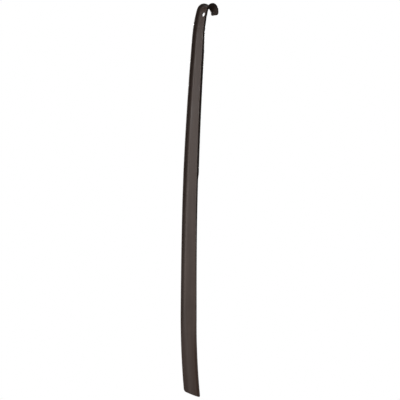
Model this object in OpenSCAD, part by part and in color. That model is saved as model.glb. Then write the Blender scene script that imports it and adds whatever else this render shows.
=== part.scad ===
// Long shoehorn, moulded in one piece: a curved blade, a channel-section handle whose upper
// half has two ribs along its back, a hanging hole, and a hook that rolls over backwards.
//
// +Z is up, the hollow front faces -Y and the hook opens downwards on the +Y side.
// The origin is the centre of the hanging hole, where the shoehorn hangs from a peg.
//
// The whole moulding is one strip. Its spine runs up the middle of its back as a chain of
// tangent arcs, and a section that changes along the spine is swept over it. Each sub-part
// is a stretch of that strip, and neighbours share their end section. The blade, the shank
// and the grip are made of two or three stretches each.

/* [Lengths along the spine] */
// Blade, from its edge to the foot of the side walls
blade_len = 126; // [110:1:135]
// Shank, the plain channel above the blade
shank_len = 213; // [180:1:240]
// Grip, the channel with ribs behind it
grip_len = 210; // [180:1:240]
// Neck, where the handle starts to bend over
neck_len = 40; // [30:1:50]

/* [Bends] */
// Radius of the blade's lengthwise curve
blade_bend_r = 1040; // [800:20:2000]
// Radius of the handle's lengthwise curve
handle_bend_r = 4400; // [3000:20:8000]
// Radius of the neck's curve
neck_bend_r = 236; // [180:4:300]
// Radius inside the hook
hook_r = 8; // [6:0.2:10]
// Direction in which the hook's end points, from straight up and turning backwards
hook_turn = 203; // [180:1:215]

/* [Widths] */
// Width at the blade's edge
blade_w = 37.4; // [34:0.2:44]
// Width at the foot of the shank
root_w = 36.2; // [33:0.2:40]
// Width where the grip's ribs begin
grip_w = 31; // [28:0.2:35]
// Width at the foot of the neck
neck_w = 24.5; // [22:0.1:28]
// Width at the top of the hook
crest_w = 21.6; // [18:0.2:24]
// Width at the hook's end, before its round
hook_end_w = 10.2; // [9:0.2:16]

/* [Section] */
// Thickness of the web and the side walls
web_t = 1.8; // [1.6:0.1:2.6]
// Thickness at the blade's edge
edge_t = 1.4; // [1.2:0.1:2]
// Depth of the blade's hollow at its edge
blade_hollow = 4.4; // [2:0.2:7]
// Height of the side walls at the foot of the shank
shank_wall = 4.1; // [3:0.1:5]
// Height of the side walls along the grip
grip_wall = 5.9; // [4:0.1:7]
// Height of the side walls round the hook
hook_wall = 4.9; // [4:0.1:6]
// How square the channel is: 2 is a shallow dish, and 12 has upright walls
grip_squareness = 6.6; // [6:0.2:12]
// The same, round the hook
hook_squareness = 5.8; // [4:0.2:8]
// Height of the ribs behind the grip
rib_h = 1.1; // [0.6:0.1:1.8]

/* [Ends] */
// How far the middle of the blade's edge stands below its sides
edge_bulge = 3.9; // [1:0.1:5]
// Corner radius of the blade's edge
edge_corner_r = 2.4; // [1:0.2:6]
// Length of the rounding at the hook's end
hook_round = 2.2; // [1:0.2:5]

/* [Hanging hole] */
// Radius of the hole
hole_r = 3; // [2.5:0.1:4.5]
// Distance from the start of the hook's bend down to the hole's centre
hole_drop = 4.7; // [4.5:0.1:8]

/* [Hidden] */
plastic = "#4b413c";

// Stations: distances along the spine from the blade's edge
s_shank = blade_len;
s_grip = s_shank + shank_len;
s_neck = s_grip + grip_len;
s_hook = s_neck + neck_len;
s_hole = s_hook - hole_drop;
eye_reach = hole_r + 3;
s_eye = s_hole - eye_reach;
s_crook = s_hole + eye_reach;
s_root = s_shank / 2;
shank_third = shank_len / 3;
grip_third = (s_eye - s_grip) / 3;

// Headings of the spine at the joins of its arcs: degrees from +Z towards +Y
function turn_of(length, r) = length / r * 180 / PI;
a_edge = -turn_of(blade_len, blade_bend_r);
a_neck = turn_of(s_neck - s_shank, handle_bend_r);
a_hook = a_neck + turn_of(neck_len, neck_bend_r);
s_crest = s_hook + hook_r * (90 - a_hook) * PI / 180;
s_end = s_hook + hook_r * (hook_turn - a_hook) * PI / 180;

// The spine's arcs, each as its first station, radius, first heading and first point
function arc_step(r, a0, a1) = r * [cos(a0) - cos(a1), sin(a1) - sin(a0)];
p_shank = arc_step(blade_bend_r, a_edge, 0);
p_neck = p_shank + arc_step(handle_bend_r, 0, a_neck);
p_hook = p_neck + arc_step(neck_bend_r, a_neck, a_hook);
ARCS = [
    [0, blade_bend_r, a_edge, [0, 0]],
    [s_shank, handle_bend_r, 0, p_shank],
    [s_neck, neck_bend_r, a_neck, p_neck],
    [s_hook, hook_r, a_hook, p_hook]
];
function arc_at(s) = ARCS[s < s_shank ? 0 : s < s_neck ? 1 : s < s_hook ? 2 : 3];
function heading(s) = let(arc = arc_at(s)) arc[2] + turn_of(s - arc[0], arc[1]);
function spine(s) = let(arc = arc_at(s)) arc[3] + arc_step(arc[1], arc[2], heading(s));
// Unit vector in YZ from the back of the strip towards its hollow front
function facing(s) = [-cos(heading(s)), sin(heading(s))];
hole_centre = spine(s_hole) + web_t / 2 * facing(s_hole);

// 0 before the stretch [first, last], 1 after it, and a smooth step along it
function rise(stretch, v) =
    let(x = max(0, min(1, (v - stretch[0]) / (stretch[1] - stretch[0])))) x * x * (3 - 2 * x);

// Stretches of the spine over which one form of the section changes into the next
HOLLOW_FADE = [0, s_shank - 13];
SQUARE_FADE = [60, 150];
GRIP_FADE = [s_shank + 27, s_shank + 257];
HOOK_WALL_FADE = [s_hook - 20, s_crest];
HOOK_SQUARE_FADE = [s_neck - 60, s_crest];
RIB_START = [s_grip, s_grip + 10];
RIB_END = [s_neck - 25, s_neck + 5];

// The section at station s
WIDTHS = [
    [0, blade_w],
    [s_shank, root_w],
    [RIB_START[1], grip_w],
    [s_neck, neck_w],
    [s_crest, crest_w],
    [s_end, hook_end_w]
];
function width(s) = lookup(s, WIDTHS);
function thickness(s) = edge_t + (web_t - edge_t) * rise([0, SQUARE_FADE[1]], s);
function wall(s) = blade_hollow
    + (shank_wall - blade_hollow) * rise(HOLLOW_FADE, s)
    + (grip_wall - shank_wall) * rise(GRIP_FADE, s)
    + (hook_wall - grip_wall) * rise(HOOK_WALL_FADE, s);
function squareness(s) = 2
    + (grip_squareness - 2) * rise(SQUARE_FADE, s)
    + (hook_squareness - grip_squareness) * rise(HOOK_SQUARE_FADE, s);
function rib(s) = rib_h * rise(RIB_START, s) * (1 - rise(RIB_END, s));
// A rib's share of its height, across the section
function rib_form(u) = rise([0.72, 0.8], abs(u)) * (1 - rise([0.93, 0.99], abs(u)));

// How far the ends are cut back: the blade's edge, and the hook's end
function edge_cut(u) =
    let(corner = 2 * edge_corner_r / blade_w, q = max(0, (abs(u) - 1 + corner) / corner))
        edge_bulge * u * u + edge_corner_r * (1 - sqrt(1 - q * q));
function hook_cut(u) = hook_round * (1 - sqrt(1 - pow(abs(u), 2.4)));
edge_reach = 30;
hook_reach = 20;
function station(k, u) = k
    + edge_cut(u) * max(0, 1 - k / edge_reach)
    - hook_cut(u) * max(0, 1 - (s_end - k) / hook_reach);
// The two end edges are rounded: share of the thickness that is left this far from an end
function end_round(d) = max(0.15, sqrt(1 - pow(1 - min(1, d / (web_t / 2)), 2)));

// One point of the skin. u runs across the strip from -1 to 1, and turn is 0 on the front,
// 180 on the back and between them round the rims.
function skin(k, u, turn) =
    let(
        s = station(k, u),
        t = thickness(s),
        reach = width(s) / 2 - t / 2,
        h = wall(s),
        e = squareness(s),
        slope = h * e * pow(abs(u), e - 1) * sign(u) / reach,
        out = atan2(1, -slope) - turn,
        half = t / 2 * end_round(min(k, s_end - k)),
        x = reach * u + half * cos(out),
        n = t / 2 + h * pow(abs(u), e) + half * sin(out) - rib(s) * rib_form(u) * (1 - cos(turn)) / 2,
        p = spine(s) + n * facing(s) - hole_centre
    ) [x, p[0], p[1]];

// The section's points: the rim's half round, the front, the other rim, and back again
across_n = 12;
ACROSS = [for (i = [-across_n:across_n]) sign(i) * (1 - pow(1 - abs(i) / across_n, 1.7))];
RIM = [15, 45, 75];
FRONT = concat([for (i = [2:-1:0]) [-1, -RIM[i]]], [for (u = ACROSS) [u, 0]], [for (a = RIM) [1, a]]);
half_n = len(FRONT);
RING = concat(FRONT, [for (i = [half_n - 1:-1:0]) [FRONT[i][0], 180 - FRONT[i][1]]]);
ring_n = len(RING);

// Evenly spaced stations from a to b, at most step apart
function even(a, b, step) = let(n = ceil((b - a) / step)) [for (i = [0:n]) a + (b - a) * i / n];

// A closed stretch of the strip through the given stations
module strip(stations) {
    rings = len(stations);
    last = (rings - 1) * ring_n;
    sides = [
        for (i = [0:rings - 2])
            for (j = [0:ring_n - 1])
                let(a = i * ring_n + j, b = i * ring_n + (j + 1) % ring_n)
                    each [[a, a + ring_n, b], [b, a + ring_n, b + ring_n]]
    ];
    ends = [
        for (i = [0:half_n - 2])
            let(j = ring_n - 1 - i)
                each [
                    [i, i + 1, j], [i + 1, j - 1, j],
                    [last + i, last + j, last + i + 1], [last + i + 1, last + j, last + j - 1]
                ]
    ];
    polyhedron([for (k = stations) for (q = RING) skin(k, q[0], q[1])], concat(sides, ends));
}

module blade_tip() {
    color(plastic) strip(concat([0, 0.15, 0.4, 0.75, 1.2, 3, 6], even(10, s_root, 6)));
}

module blade_root() {
    color(plastic) strip(even(s_root, s_shank, 6));
}

// A third of the shank
module shank_stretch(i) {
    strip(even(s_shank + i * shank_third, s_shank + (i + 1) * shank_third, 9));
}

module shank_lower() {
    color(plastic) shank_stretch(0);
}

module shank_middle() {
    color(plastic) shank_stretch(1);
}

module shank_upper() {
    color(plastic) shank_stretch(2);
}

module grip_lower() {
    color(plastic) strip(concat(
        even(RIB_START[0], RIB_START[1], 1.25),
        even(RIB_START[1] + 8, s_grip + grip_third, 9)
    ));
}

module grip_middle() {
    color(plastic) strip(even(s_grip + grip_third, s_grip + 2 * grip_third, 9));
}

module grip_upper() {
    color(plastic) strip(even(s_grip + 2 * grip_third, s_eye, 4));
}

module hanging_eye() {
    color(plastic) difference() {
        strip(even(s_eye, s_crook, 1.5));
        rotate([90 - heading(s_hole), 0, 0]) cylinder(h = 4 * web_t, r = hole_r, center = true, $fn = 64);
    }
}

module hook() {
    color(plastic) strip(concat(
        even(s_crook, s_end - 4, 1.2),
        [for (d = [3, 2.2, 1.5, 1, 0.6, 0.3, 0.1, 0]) s_end - d]
    ));
}

blade_tip();
blade_root();
shank_lower();
shank_middle();
shank_upper();
grip_lower();
grip_middle();
grip_upper();
hanging_eye();
hook();
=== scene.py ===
"""Long shoehorn: the moulding rebuilt as smooth surfaces around the CAD frame, in plain studio light.

The moulding is one strip swept along a chain of tangent arcs, as in the CAD. Everything here is in
the row frame: +Z up, the hollow front faces -Y, and the origin is the hanging hole's centre.
Sizes in the first part are in millimetres, and the meshes are made in metres.
"""

import math

import bpy
import numpy as np
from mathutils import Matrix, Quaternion, Vector


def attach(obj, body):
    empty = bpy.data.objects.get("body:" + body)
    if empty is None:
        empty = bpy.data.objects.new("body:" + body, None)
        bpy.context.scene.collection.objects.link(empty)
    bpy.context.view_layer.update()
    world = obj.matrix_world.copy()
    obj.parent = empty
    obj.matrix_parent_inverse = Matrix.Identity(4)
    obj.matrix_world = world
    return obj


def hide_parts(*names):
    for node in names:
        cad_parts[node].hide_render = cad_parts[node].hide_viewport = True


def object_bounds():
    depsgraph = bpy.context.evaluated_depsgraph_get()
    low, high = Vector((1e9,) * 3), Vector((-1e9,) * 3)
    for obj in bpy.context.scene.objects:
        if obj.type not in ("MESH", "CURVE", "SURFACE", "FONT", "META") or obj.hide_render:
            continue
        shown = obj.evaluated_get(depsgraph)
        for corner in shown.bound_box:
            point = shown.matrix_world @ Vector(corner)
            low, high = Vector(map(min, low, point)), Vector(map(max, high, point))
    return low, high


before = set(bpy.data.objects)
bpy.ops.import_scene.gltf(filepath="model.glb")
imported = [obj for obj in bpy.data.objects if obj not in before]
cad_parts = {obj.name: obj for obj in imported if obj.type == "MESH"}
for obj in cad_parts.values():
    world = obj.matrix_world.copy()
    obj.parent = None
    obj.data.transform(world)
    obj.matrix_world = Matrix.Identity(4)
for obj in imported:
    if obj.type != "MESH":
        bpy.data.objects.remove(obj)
CAD_LOW, CAD_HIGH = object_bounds()
MM = 0.001

# ---------------------------------------------------------------- the strip, as in the CAD

BLADE_LEN, SHANK_LEN, GRIP_LEN, NECK_LEN = 126.0, 213.0, 210.0, 40.0
BLADE_BEND_R, HANDLE_BEND_R, NECK_BEND_R, HOOK_R = 1040.0, 4400.0, 236.0, 8.0
HOOK_TURN = math.radians(203)
BLADE_W, ROOT_W, GRIP_W, NECK_W, CREST_W, HOOK_END_W = 37.4, 36.2, 31.0, 24.5, 21.6, 10.2
WEB_T, EDGE_T = 1.8, 1.4
BLADE_HOLLOW, SHANK_WALL, GRIP_WALL, HOOK_WALL = 4.4, 4.1, 5.9, 4.9
GRIP_SQUARENESS, HOOK_SQUARENESS = 6.6, 5.8
RIB_H = 1.1
EDGE_BULGE, EDGE_CORNER_R, HOOK_ROUND = 3.9, 2.4, 2.2
HOLE_R, HOLE_DROP, EYE_MARGIN = 3.0, 4.7, 3.0
EDGE_REACH, HOOK_REACH = 30.0, 20.0
HOOK_ROUND_POWER = 2.4
END_LEAST = 0.06

# Stations: distances along the spine from the blade's edge
S_SHANK = BLADE_LEN
S_GRIP = S_SHANK + SHANK_LEN
S_NECK = S_GRIP + GRIP_LEN
S_HOOK = S_NECK + NECK_LEN
S_HOLE = S_HOOK - HOLE_DROP
S_EYE = S_HOLE - HOLE_R - EYE_MARGIN
S_CROOK = S_HOLE + HOLE_R + EYE_MARGIN

# Headings of the spine at the joins of its arcs, from +Z towards +Y
A_EDGE = -BLADE_LEN / BLADE_BEND_R
A_NECK = (S_NECK - S_SHANK) / HANDLE_BEND_R
A_HOOK = A_NECK + NECK_LEN / NECK_BEND_R
S_CREST = S_HOOK + HOOK_R * (math.pi / 2 - A_HOOK)
S_END = S_HOOK + HOOK_R * (HOOK_TURN - A_HOOK)

# Stretches of the spine over which one form of the section changes into the next
HOLLOW_FADE = (0, S_SHANK - 13)
SQUARE_FADE = (60, 150)
THICKNESS_FADE = (0, 150)
GRIP_FADE = (S_SHANK + 27, S_SHANK + 257)
HOOK_WALL_FADE = (S_HOOK - 20, S_CREST)
HOOK_SQUARE_FADE = (S_NECK - 60, S_CREST)
RIB_START = (S_GRIP, S_GRIP + 10)
RIB_END = (S_NECK - 25, S_NECK + 5)
# The two flanks of a rib, as shares of the half width
RIB_INNER_FLANK = (0.72, 0.8)
RIB_OUTER_FLANK = (0.93, 0.99)


def arc_step(r, a0, a1):
    """The step in Y and Z along an arc of radius r from heading a0 to heading a1."""
    return np.array([r * (np.cos(a0) - np.cos(a1)), r * (np.sin(a1) - np.sin(a0))])


P_SHANK = arc_step(BLADE_BEND_R, A_EDGE, 0.0)
P_NECK = P_SHANK + arc_step(HANDLE_BEND_R, 0.0, A_NECK)
P_HOOK = P_NECK + arc_step(NECK_BEND_R, A_NECK, A_HOOK)
ARCS = (
    (0.0, BLADE_BEND_R, A_EDGE, np.zeros(2)),
    (S_SHANK, HANDLE_BEND_R, 0.0, P_SHANK),
    (S_NECK, NECK_BEND_R, A_NECK, P_NECK),
    (S_HOOK, HOOK_R, A_HOOK, P_HOOK),
)


def spine(s):
    """Y, Z and heading of the middle of the back at stations s."""
    s = np.asarray(s, float)
    y, z, a = np.zeros_like(s), np.zeros_like(s), np.zeros_like(s)
    for i, (s0, r, a0, p0) in enumerate(ARCS):
        s1 = ARCS[i + 1][0] if i + 1 < len(ARCS) else np.inf
        here = (s < s1) if i == 0 else (s >= s0) & (s < s1)
        turned = a0 + (s - s0) / r
        dy, dz = arc_step(r, a0, turned)
        y, z, a = np.where(here, p0[0] + dy, y), np.where(here, p0[1] + dz, z), np.where(here, turned, a)
    return y, z, a


def place(s, x, n):
    """Points in millimetres in the row frame, n in front of the back at station s."""
    y, z, a = spine(s)
    y0, z0, a0 = spine(S_HOLE)
    hole_y, hole_z = y0 - WEB_T / 2 * np.cos(a0), z0 + WEB_T / 2 * np.sin(a0)
    return np.stack([x + 0 * y, y - n * np.cos(a) - hole_y, z + n * np.sin(a) - hole_z], -1)


def rise(stretch, v):
    """0 before the stretch, 1 after it, and a smooth step along it."""
    first, last = stretch
    q = np.clip((v - first) / (last - first), 0, 1)
    return q * q * (3 - 2 * q)


def width(s):
    """The strip's full width at station s."""
    stations = [0, S_SHANK, RIB_START[1], S_NECK, S_CREST, S_END]
    return np.interp(s, stations, [BLADE_W, ROOT_W, GRIP_W, NECK_W, CREST_W, HOOK_END_W])


def thickness(s):
    return EDGE_T + (WEB_T - EDGE_T) * rise(THICKNESS_FADE, s)


def wall(s):
    """How far the rims stand in front of the middle."""
    return (
        BLADE_HOLLOW
        + (SHANK_WALL - BLADE_HOLLOW) * rise(HOLLOW_FADE, s)
        + (GRIP_WALL - SHANK_WALL) * rise(GRIP_FADE, s)
        + (HOOK_WALL - GRIP_WALL) * rise(HOOK_WALL_FADE, s)
    )


def squareness(s):
    """The power of the section's curve: 2 is a shallow dish, and more is a channel with side walls."""
    return (
        2
        + (GRIP_SQUARENESS - 2) * rise(SQUARE_FADE, s)
        + (HOOK_SQUARENESS - GRIP_SQUARENESS) * rise(HOOK_SQUARE_FADE, s)
    )


def ribbed(s):
    """The ribs' share of their full height at station s."""
    return rise(RIB_START, s) * (1 - rise(RIB_END, s))


def rib(s, u):
    across_rib = rise(RIB_INNER_FLANK, abs(u)) * (1 - rise(RIB_OUTER_FLANK, abs(u)))
    return RIB_H * ribbed(s) * across_rib


def edge_cut(u):
    """How far the blade's edge is cut back at u, for its bulge and its two corners."""
    corner = 2 * EDGE_CORNER_R / BLADE_W
    q = np.clip((abs(u) - 1 + corner) / corner, 0, 1)
    return EDGE_BULGE * u * u + EDGE_CORNER_R * (1 - np.sqrt(1 - q * q))


def hook_cut(u):
    return HOOK_ROUND * (1 - np.sqrt(np.clip(1 - abs(u) ** HOOK_ROUND_POWER, 0, 1)))


def end_round(d):
    """Share of the thickness that is left at distance d from an end, whose edge is rounded."""
    return np.maximum(END_LEAST, np.sqrt(1 - (1 - np.clip(d / (WEB_T / 2), 0, 1)) ** 2))


def skin(k, u, turn):
    """Points of the skin: u runs across from -1 to 1, turn from 0 on the front to pi on the back."""
    s = (
        k
        + edge_cut(u) * np.clip(1 - k / EDGE_REACH, 0, 1)
        - hook_cut(u) * np.clip(1 - (S_END - k) / HOOK_REACH, 0, 1)
    )
    t = thickness(s)
    reach = width(s) / 2 - t / 2
    slope = wall(s) * squareness(s) * abs(u) ** (squareness(s) - 1) * np.sign(u) / reach
    out = np.arctan2(1, -slope) - turn
    half = t / 2 * end_round(np.minimum(k, S_END - k))
    x = reach * u + half * np.cos(out)
    n = t / 2 + wall(s) * abs(u) ** squareness(s) + half * np.sin(out)
    return place(s, x, n - rib(s, u) * (1 - np.cos(turn)) / 2)


# ---------------------------------------------------------------- the moulding as one closed mesh

ACROSS_N = 34
ACROSS_CROWDING = 1.6
RIM_N = 8
END_RINGS = 9


def across():
    """Columns over the front from rim to rim, closest together at the rims."""
    i = np.arange(ACROSS_N + 1) / ACROSS_N
    u = 1 - (1 - i) ** ACROSS_CROWDING
    return np.concatenate([-u[:0:-1], u])


FRONT_U = across()
RIM_TURN = (np.arange(2 * RIM_N + 1)[1:-1]) * math.pi / (2 * RIM_N)
RING_U = np.concatenate([FRONT_U, np.ones(len(RIM_TURN)), FRONT_U[::-1], -np.ones(len(RIM_TURN))])
RING_TURN = np.concatenate(
    [np.zeros(len(FRONT_U)), RIM_TURN, np.full(len(FRONT_U), math.pi), -RIM_TURN[::-1]]
)
RING_N = len(RING_U)


def even(a, b, step):
    """Evenly spaced stations from a to b, at most step apart."""
    return np.linspace(a, b, max(1, math.ceil((b - a) / step)) + 1)


def stations():
    """Stations of all rings from the blade's edge to the hook's end, and each piece's first ring."""
    near = WEB_T / 2 * (1 - np.cos(np.linspace(0, math.pi / 2, END_RINGS)))
    blade = [near, even(WEB_T / 2, EDGE_REACH, 1.2)[1:], even(EDGE_REACH, S_SHANK, 2.5)[1:]]
    grip = [even(*RIB_START, 0.5), even(RIB_START[1], RIB_END[0], 3)[1:], even(RIB_END[0], S_EYE, 1.5)[1:]]
    spans = (
        ("blade", blade),
        ("shank", [even(S_SHANK, S_GRIP, 3)]),
        ("grip", grip),
        ("hanging_eye", [even(S_EYE, S_CROOK, 0.45)]),
        ("hook", [even(S_CROOK, S_END - WEB_T / 2, 0.3), S_END - near[-2::-1]]),
    )
    found, starts = [], {}
    for name, parts in spans:
        run = np.concatenate(parts)
        if found:
            run = run[1:]
        starts[name] = len(found) - 1 if found else 0
        found.extend(run)
    return np.array(found), starts


K, STARTS = stations()


def edge_distance(k, u):
    """How far the skin at (k, u) is from the nearest edge of the moulding, in millimetres."""
    side = (1 - abs(u)) * width(k) / 2
    hole = np.hypot(u * width(k) / 2, k - S_HOLE) - HOLE_R
    return np.minimum(np.minimum(side, hole), np.minimum(k, S_END - k))


# Stretches along which painted light and shade change on the plastic, and each line's middle and breadth
# across the half width
PAINTED_HIGHLIGHT_START = (S_SHANK - 30, S_SHANK + 60)
PAINTED_HIGHLIGHT_END = (S_NECK - 20, S_EYE)
BLADE_SHADE_END = (60, S_SHANK + 10)
HOOK_END_PAINTED_LIGHT = (S_END - 12, S_END - 6)
PAINTED_HIGHLIGHT_LINE = (0.72, 0.07)
RIB_PAINTED_SHADE_LINE = (0.56, 0.05)
BLADE_PAINTED_SHADE_LINE = (0.78, 0.25)


def stripe(line, u):
    """1 in the middle of a line on each half of the strip, and 0 well away from it."""
    middle, breadth = line
    return np.exp(-(((abs(u) - middle) / breadth) ** 2))


def painted_light_and_shade(k, u, turn):
    """How much painted light (above 0) or painted shading (below 0) the plastic is given.

    On the front: a painted highlight at the foot of each side wall, painted shading along a line opposite
    each
    rib, as a sink mark's shading would fall, and painted shading on the sides of the blade. On the back:
    painted light on the hook's end.
    """
    # Painted highlight along the foot of each side wall, between these stations
    pale = rise(PAINTED_HIGHLIGHT_START, k) * (1 - rise(PAINTED_HIGHLIGHT_END, k))
    blade = 1 - rise(BLADE_SHADE_END, k)
    # Painted highlight at the wall feet, less a line of painted shade opposite each rib
    front = pale * stripe(PAINTED_HIGHLIGHT_LINE, u) - ribbed(k) * stripe(RIB_PAINTED_SHADE_LINE, u)
    # Painted shade on both sides of the blade's hollow
    front = front - blade * stripe(BLADE_PAINTED_SHADE_LINE, u)
    # Painted light on the back of the hook's end
    back = 2 * rise(HOOK_END_PAINTED_LIGHT, k)
    return np.where(turn == 0, front, np.where(turn == math.pi, back, 0.0))


class Skin:
    """Vertices and faces of the whole moulding, each face with the piece that it belongs to."""

    def __init__(self):
        ring_k, ring_u = np.meshgrid(K, RING_U, indexing="ij")
        self.points = [tuple(q) for q in skin(ring_k, ring_u, RING_TURN[None, :]).reshape(-1, 3)]
        self.edge = list(edge_distance(ring_k, ring_u).reshape(-1))
        # Painted light and shade at each skin point, fixed to the moulding
        self.painted_light_and_shade = list(painted_light_and_shade(ring_k, ring_u, RING_TURN[None, :]).reshape(-1))
        self.faces, self.owner = [], []

    def add(self, s, x, depth):
        """Adds a point of the web around the hanging hole, and returns its number."""
        self.points.append(tuple(web_point(s, x, depth)))
        self.edge.append(math.hypot(x, s - S_HOLE) - HOLE_R)
        self.painted_light_and_shade.append(0.0)
        return len(self.points) - 1

    def face(self, corners, piece):
        self.faces.append(tuple(corners))
        self.owner.append(piece)


def web_point(s, x, depth):
    """A point of the web: depth runs from 1 on its front to -1 on its back."""
    t = thickness(s)
    u = x / (width(s) / 2 - t / 2)
    return place(s, x, t / 2 + wall(s) * abs(u) ** squareness(s) + depth * t / 2)


def vertex(i, j):
    return i * RING_N + j % RING_N


def back_column(j):
    """The ring's column on the back that faces column j on the front."""
    return 2 * len(FRONT_U) + len(RIM_TURN) - 1 - j


def cap(i):
    """The cross-section at ring i, as faces from column to column."""
    f, r = len(FRONT_U), len(RIM_TURN)
    pairs = [(j, back_column(j)) for j in range(f)]
    right = [(f + m, f + r - 1 - m) for m in range(r // 2)]
    left = [(RING_N - 1 - m, 2 * f + r + m) for m in range(r // 2)]
    run = left[::-1] + pairs + right
    faces = []
    for (a, b), (c, d) in zip(run, run[1:]):
        faces.append((vertex(i, a), vertex(i, c), vertex(i, d), vertex(i, b)))
    a, b = right[-1]
    faces.append((vertex(i, a), vertex(i, f + r // 2), vertex(i, b)))
    a, b = left[-1]
    faces.append((vertex(i, b), vertex(i, 2 * f + r + r // 2), vertex(i, a)))
    return faces


# The square patch of the web that gives way to the hole's rings reaches this far from the hole's centre
HOLE_PATCH = 4.6
HOLE_FILLET = 0.35
# Rings on the flat web, from the patch's border (0) to the hole (1), and over the rounded edge, in degrees
HOLE_RINGS = (0.3, 0.55, 0.78, 0.92, 1.0)
HOLE_FILLET_RINGS = (22.5, 45, 67.5, 90)


def hole_profile():
    """The rings from the front through the hole to the back: share of the way in, radius and depth."""
    front = [(f, HOLE_R + HOLE_FILLET, 1.0) for f in HOLE_RINGS]
    for q in np.radians(HOLE_FILLET_RINGS):
        depth = 1 - HOLE_FILLET * (1 - math.cos(q)) / (WEB_T / 2)
        front.append((1.0, HOLE_R + HOLE_FILLET * (1 - math.sin(q)), depth))
    back = [(f, r, -d) for f, r, d in reversed(front)]
    return front + [(1.0, HOLE_R, 0.0)] + back


def cut_hole(body):
    """Lays rings of faces around the hanging hole, and returns the web's faces that they replace."""
    rows = [i for i in range(len(K)) if abs(K[i] - S_HOLE) <= HOLE_PATCH]
    reach = width(S_HOLE) / 2 - WEB_T / 2
    columns = [j for j in range(len(FRONT_U)) if abs(FRONT_U[j]) * reach <= HOLE_PATCH]
    i0, i1, j0, j1 = rows[0], rows[-1], columns[0], columns[-1]
    loop = (
        [(i0, j) for j in range(j0, j1)]
        + [(i, j1) for i in range(i0, i1)]
        + [(i1, j) for j in range(j1, j0, -1)]
        + [(i, j0) for i in range(i1, i0, -1)]
    )
    flat = []
    for i, j in loop:
        half_width = width(K[i]) / 2 - thickness(K[i]) / 2
        flat.append((half_width * FRONT_U[j], K[i] - S_HOLE))
    angles = [math.atan2(b, a) for a, b in flat]
    rings = [[vertex(i, j) for i, j in loop]]
    for f, r, depth in hole_profile():
        ring = []
        for (x, along), angle in zip(flat, angles):
            px = (1 - f) * x + f * r * math.cos(angle)
            ps = (1 - f) * along + f * r * math.sin(angle)
            ring.append(body.add(S_HOLE + ps, px, depth))
        rings.append(ring)
    rings.append([vertex(i, back_column(j)) for i, j in loop])
    for outer, inner in zip(rings, rings[1:]):
        for m in range(len(loop)):
            after = (m + 1) % len(loop)
            body.face((outer[m], outer[after], inner[after], inner[m]), "hanging_eye")
    front = {(i, j) for i in range(i0, i1) for j in range(j0, j1)}
    back = {(i, back_column(j + 1)) for i, j in front}
    return front | back


def whole_moulding():
    """The closed skin, and the first and last ring of each piece."""
    body = Skin()
    skipped = cut_hole(body)
    names = list(STARTS)
    limits = [STARTS[n] for n in names] + [len(K) - 1]
    for name, first, last in zip(names, limits, limits[1:]):
        for i in range(first, last):
            for j in range(RING_N):
                if (i, j) in skipped:
                    continue
                corners = (vertex(i, j), vertex(i, j + 1), vertex(i + 1, j + 1), vertex(i + 1, j))
                body.face(corners, name)
    return body, dict(zip(names, zip(limits, limits[1:])))


# ---------------------------------------------------------------- pieces, each in place of its CAD nodes

NODES_OF = {
    "blade": ("blade_tip", "blade_root"),
    "shank": ("shank_lower", "shank_middle", "shank_upper"),
    "grip": ("grip_lower", "grip_middle", "grip_upper"),
    "hanging_eye": ("hanging_eye",),
    "hook": ("hook",),
}


def shared_normals(points, faces):
    """Smooth vertex normals of the whole moulding, so that no seam shows where two pieces meet."""
    mesh = bpy.data.meshes.new("whole")
    mesh.from_pydata(points, [], faces)
    mesh.update()
    normals = [v.normal.copy() for v in mesh.vertices]
    bpy.data.meshes.remove(mesh)
    return normals


def make_piece(name, body, normals, first, last, material):
    """One closed piece of the moulding from ring first to ring last, capped at both ends."""
    corners = [f for f, owner in zip(body.faces, body.owner) if owner == name]
    smooth = [True] * len(corners)
    start, end = cap(first), cap(last)
    corners += [tuple(reversed(f)) for f in start] + end
    smooth += [False] * (len(start) + len(end))
    used = sorted({v for f in corners for v in f})
    index = {v: m for m, v in enumerate(used)}
    mesh = bpy.data.meshes.new(name)
    points = [Vector(body.points[v]) * MM for v in used]
    mesh.from_pydata(points, [], [[index[v] for v in f] for f in corners])
    mesh.update()
    loop_normals = []
    for polygon, is_smooth in zip(mesh.polygons, smooth):
        polygon.use_smooth = True
        for v in polygon.vertices:
            loop_normals.append(normals[used[v]] if is_smooth else polygon.normal)
    mesh.normals_split_custom_set(loop_normals)
    # Attributes: distance to the nearest edge, and painted light and shade
    for label, values in (("edge_mm", body.edge), ("painted_light_and_shade", body.painted_light_and_shade)):
        attribute = mesh.attributes.new(label, "FLOAT", "POINT")
        attribute.data.foreach_set("value", [values[v] for v in used])
    piece = bpy.data.objects.new(name + "_moulding", mesh)
    bpy.context.scene.collection.objects.link(piece)
    mesh.materials.append(material)
    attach(piece, "root")
    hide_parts(*NODES_OF[name])


# ---------------------------------------------------------------- the plastic


def add_node(tree, kind, inputs=None, **settings):
    """A shader node. An input's value is a constant, or the output socket that feeds it."""
    node = tree.nodes.new(kind)
    for key, value in settings.items():
        setattr(node, key, value)
    for key, value in (inputs or {}).items():
        if isinstance(value, bpy.types.NodeSocket):
            tree.links.new(value, node.inputs[key])
        else:
            node.inputs[key].default_value = value
    return node


def noise(tree, points, scale, detail=3.0, stretch=(1, 1, 1)):
    """Noise from 0 to 1 with scale features to the millimetre, stretched along an axis where stretch < 1."""
    if stretch != (1, 1, 1):
        stretched = add_node(tree, "ShaderNodeVectorMath", {0: points, 1: stretch}, operation="MULTIPLY")
        points = stretched.outputs[0]
    inputs = {"Vector": points, "Scale": scale, "Detail": detail}
    return add_node(tree, "ShaderNodeTexNoise", inputs).outputs["Fac"]


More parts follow.
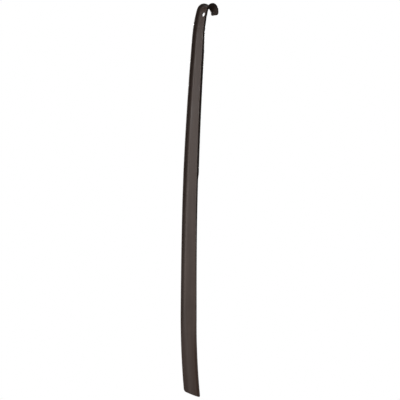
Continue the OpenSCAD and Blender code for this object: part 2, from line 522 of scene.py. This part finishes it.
def remap(tree, value, low, high, to_low=0.0, to_high=1.0):
    """A smooth step from to_low where the value is low to to_high where it is high."""
    inputs = {"Value": value, "From Min": low, "From Max": high, "To Min": to_low, "To Max": to_high}
    return add_node(tree, "ShaderNodeMapRange", inputs, interpolation_type="SMOOTHSTEP").outputs["Result"]


def combine(tree, operation, a, b):
    return add_node(tree, "ShaderNodeMath", {0: a, 1: b}, operation=operation).outputs[0]


def mix_colour(tree, factor, a, b):
    mix = add_node(tree, "ShaderNodeMixRGB", {"Fac": factor, "Color1": a, "Color2": b})
    return mix.outputs["Color"]


def add_up(tree, *parts):
    """The sum of all the parts."""
    total = parts[0]
    for part in parts[1:]:
        total = combine(tree, "ADD", total, part)
    return total


def times(tree, a, b):
    return combine(tree, "MULTIPLY", a, b)


def attribute_value(tree, name):
    return add_node(tree, "ShaderNodeAttribute", attribute_name=name).outputs["Fac"]


PLASTIC = (0.074, 0.050, 0.040, 1)
# The colour that painted shade mixes in
PLASTIC_PAINTED_SHADE = (0.040, 0.019, 0.012, 1)
PLASTIC_WORN = (0.135, 0.108, 0.094, 1)

# Shares of the painted-shade colour and of the worn colour where each cause is at its full strength
BLADE_END_PAINTED_SHADE, NECK_PAINTED_SHADE, PAINTED_SHADE_DEEP = 0.20, 0.36, 0.75
RUB_WORN, SCUFF_WORN = 0.4, 0.22
# Brightness of painted light added where the attribute of painted light and shading is 2, its highest value
PAINTED_LIGHT_PALE = 0.8
# Heights in millimetres between which the blade's scuffs and painted shade, and the neck's painted shade,
# set in
BLADE_SCUFF_AND_SHADE_HEIGHTS = (-425.0, -560.0)
NECK_HEIGHTS = (-190.0, -30.0)
# Distances from an edge in millimetres where rubbing starts and where it is full
RUB_REACH = (1.6, 0.2)
GRAIN_HEIGHT_M = 0.00003


def plastic_colour(tree, place_mm, height, cloud, flow, rub, scuff, used):
    """The brown plastic with flow marks, painted shading at the neck and the blade's end, painted light and
    shading from the attribute, and paler where it is worn.
    """
    painted_light_here = attribute_value(tree, "painted_light_and_shade")
    speck = noise(tree, place_mm, 0.9, 2.0)
    # The tone takes in painted light from the attribute's values above 0
    tone = add_up(
        tree,
        remap(tree, cloud, 0.25, 0.75, 0.93, 1.04),
        remap(tree, flow, 0.3, 0.7, -0.10, 0.10),
        remap(tree, speck, 0.3, 0.7, -0.03, 0.03),
        remap(tree, painted_light_here, 0.0, 2.0, 0.0, PAINTED_LIGHT_PALE),
    )
    tint = add_node(tree, "ShaderNodeVectorMath", {0: PLASTIC[:3], "Scale": tone}, operation="SCALE")
    worn = add_up(tree, times(tree, rub, RUB_WORN), times(tree, scuff, SCUFF_WORN))
    # Painted shade towards the blade's end and at the neck
    ends = add_up(tree, times(tree, used, BLADE_END_PAINTED_SHADE), remap(tree, height, *NECK_HEIGHTS, 0.0, NECK_PAINTED_SHADE))
    # Painted shade from the attribute's values below 0, added to the painted shade of the ends
    painted_shade_share = add_up(tree, remap(tree, painted_light_here, 0.0, -1.0, 0.0, PAINTED_SHADE_DEEP), ends)
    colour = mix_colour(tree, painted_shade_share, tint.outputs[0], PLASTIC_PAINTED_SHADE)
    return mix_colour(tree, worn, colour, PLASTIC_WORN)


def plastic_roughness(tree, cloud, flow, rub, scuff):
    """Satin all over, smoother on the rubbed rims and duller in the scuffs."""
    even_finish = add_up(
        tree,
        remap(tree, cloud, 0.25, 0.75, 0.50, 0.58),
        remap(tree, flow, 0.3, 0.7, -0.03, 0.03),
    )
    polished = combine(tree, "SUBTRACT", even_finish, times(tree, rub, 0.10))
    return add_up(tree, polished, times(tree, scuff, 0.08))


def plastic_relief(tree, place_mm, scuff):
    """The spark-eroded grain, with the scuffs cut into it."""
    grain = noise(tree, place_mm, 2.4, 5.0)
    relief = combine(tree, "SUBTRACT", grain, times(tree, scuff, 0.8))
    inputs = {"Height": relief, "Strength": 0.5, "Distance": GRAIN_HEIGHT_M}
    return add_node(tree, "ShaderNodeBump", inputs).outputs["Normal"]


def moulded_plastic():
    """Satin brown plastic: a spark-eroded grain, faint flow marks, rims rubbed by use, and painted light and
    shading.
    """
    material = bpy.data.materials.new("moulded_plastic")
    material.use_nodes = True
    tree = material.node_tree
    shader = tree.nodes["Principled BSDF"]
    place_m = add_node(tree, "ShaderNodeTexCoord").outputs["Object"]
    scaled = add_node(tree, "ShaderNodeVectorMath", {0: place_m, "Scale": 1000.0}, operation="SCALE")
    place_mm = scaled.outputs[0]

    cloud = noise(tree, place_mm, 0.035)
    flow = noise(tree, place_mm, 0.32, 4.0, (1, 1, 0.035))
    patches = remap(tree, noise(tree, place_mm, 0.16), 0.38, 0.66, 0.25, 1.0)
    rub = times(tree, remap(tree, attribute_value(tree, "edge_mm"), *RUB_REACH), patches)
    height = add_node(tree, "ShaderNodeSeparateXYZ", {0: place_mm}).outputs["Z"]
    # Ramp towards the blade's end, for its scuffs and its painted shade
    used = remap(tree, height, *BLADE_SCUFF_AND_SHADE_HEIGHTS)
    scratch = remap(tree, noise(tree, place_mm, 3.2, 2.0, (1, 1, 0.016)), 0.60, 0.68)
    scuff = times(tree, scratch, used)

    colour = plastic_colour(tree, place_mm, height, cloud, flow, rub, scuff, used)
    tree.links.new(colour, shader.inputs["Base Color"])
    tree.links.new(plastic_roughness(tree, cloud, flow, rub, scuff), shader.inputs["Roughness"])
    tree.links.new(plastic_relief(tree, place_mm, scuff), shader.inputs["Normal"])
    return material


body, limits = whole_moulding()
normals = shared_normals(body.points, body.faces)
plastic = moulded_plastic()
for name, (first, last) in limits.items():
    make_piece(name, body, normals, first, last, plastic)


# ---------------------------------------------------------------- camera, floor and light


def look_at(obj, place_mm, aim_mm, roll=0.0):
    """Puts obj at a place and points its -Z at the aim, both in millimetres."""
    obj.location = Vector(place_mm) * MM
    to = Vector(aim_mm) - Vector(place_mm)
    obj.rotation_mode = "QUATERNION"
    obj.rotation_quaternion = to.to_track_quat("-Z", "Y") @ Quaternion((0, 0, 1), roll)


CAMERA_AT = (1167.07, -1045.74, -59.17)
CAMERA_AIM = (4.68, -11.18, -276.74)
CAMERA_ROLL = math.radians(0.0412)
CAMERA_LENS = 93.48


def make_camera():
    """The photograph's view, solved from the shoehorn's outlines."""
    camera = bpy.data.objects.new("camera", bpy.data.cameras.new("camera"))
    bpy.context.scene.collection.objects.link(camera)
    camera.data.lens = CAMERA_LENS
    camera.data.clip_start = 0.05
    camera.data.clip_end = 50
    look_at(camera, CAMERA_AT, CAMERA_AIM, CAMERA_ROLL)
    bpy.context.scene.camera = camera


# Soft round lamps around the shoehorn's middle: azimuth from -Y towards +X, elevation, and watts
MIDDLE = (0, 0, -283)
LAMP_DISTANCE = 2200.0
LAMP_SIZE = 500.0
LAMPS = (
    ("front_far_left", -45, 10, 3.6),
    ("front_left", -20, 10, 17.1),
    ("front_middle", -10, 10, 3.6),
    ("front_right", 20, 10, 9.3),
    ("low_front", -20, -30, 3.9),
    ("low_right", 90, -30, 4.5),
    ("top", 0, 88, 6.0),
    ("back_far_left", -120, 10, 26.0),
    ("back_left", -150, 10, 25.0),
    ("high_back", 180, 50, 5.1),
)


def soft_lamp(name, azimuth, elevation, watts):
    data = bpy.data.lights.new(name, "AREA")
    data.shape = "DISK"
    data.size = LAMP_SIZE * MM
    data.energy = watts
    lamp = bpy.data.objects.new(name, data)
    bpy.context.scene.collection.objects.link(lamp)
    a, e = math.radians(azimuth), math.radians(elevation)
    way = Vector((math.sin(a) * math.cos(e), -math.cos(a) * math.cos(e), math.sin(e)))
    look_at(lamp, Vector(MIDDLE) + way * LAMP_DISTANCE, MIDDLE)


# The floor's half side and its distance below the blade, in metres
FLOOR_HALF = 4.0
FLOOR_DROP = 0.25


def white_floor():
    """A plain white floor under the hanging shoehorn, which lights nothing itself."""
    half = FLOOR_HALF
    z = CAD_LOW[2] - FLOOR_DROP
    mesh = bpy.data.meshes.new("floor")
    corners = [(-half, -half, z), (half, -half, z), (half, half, z), (-half, half, z)]
    mesh.from_pydata(corners, [], [(0, 1, 2, 3)])
    material = bpy.data.materials.new("white_paper")
    material.use_nodes = True
    tree = material.node_tree
    glow = add_node(tree, "ShaderNodeEmission", {"Color": (1, 1, 1, 1), "Strength": 1.0})
    tree.links.new(glow.outputs[0], tree.nodes["Material Output"].inputs["Surface"])
    mesh.materials.append(material)
    floor = bpy.data.objects.new("floor", mesh)
    bpy.context.scene.collection.objects.link(floor)
    floor.visible_diffuse = floor.visible_glossy = floor.visible_shadow = False


# The room's strength as light, where 1 is the white that the camera sees
ROOM_FILL = 0.03


def white_room():
    """White all round behind the shoehorn, and a little of it as fill light."""
    world = bpy.data.worlds.new("studio")
    bpy.context.scene.world = world
    world.use_nodes = True
    tree = world.node_tree
    seen = add_node(tree, "ShaderNodeLightPath").outputs["Is Camera Ray"]
    inputs = {"Value": seen, "To Min": ROOM_FILL, "To Max": 1.0}
    strength = add_node(tree, "ShaderNodeMapRange", inputs)
    background = tree.nodes["Background"]
    background.inputs["Color"].default_value = (1, 1, 1, 1)
    tree.links.new(strength.outputs["Result"], background.inputs["Strength"])


make_camera()
for lamp in LAMPS:
    soft_lamp(*lamp)
white_floor()
white_room()
bpy.context.scene.view_settings.view_transform = "Standard"
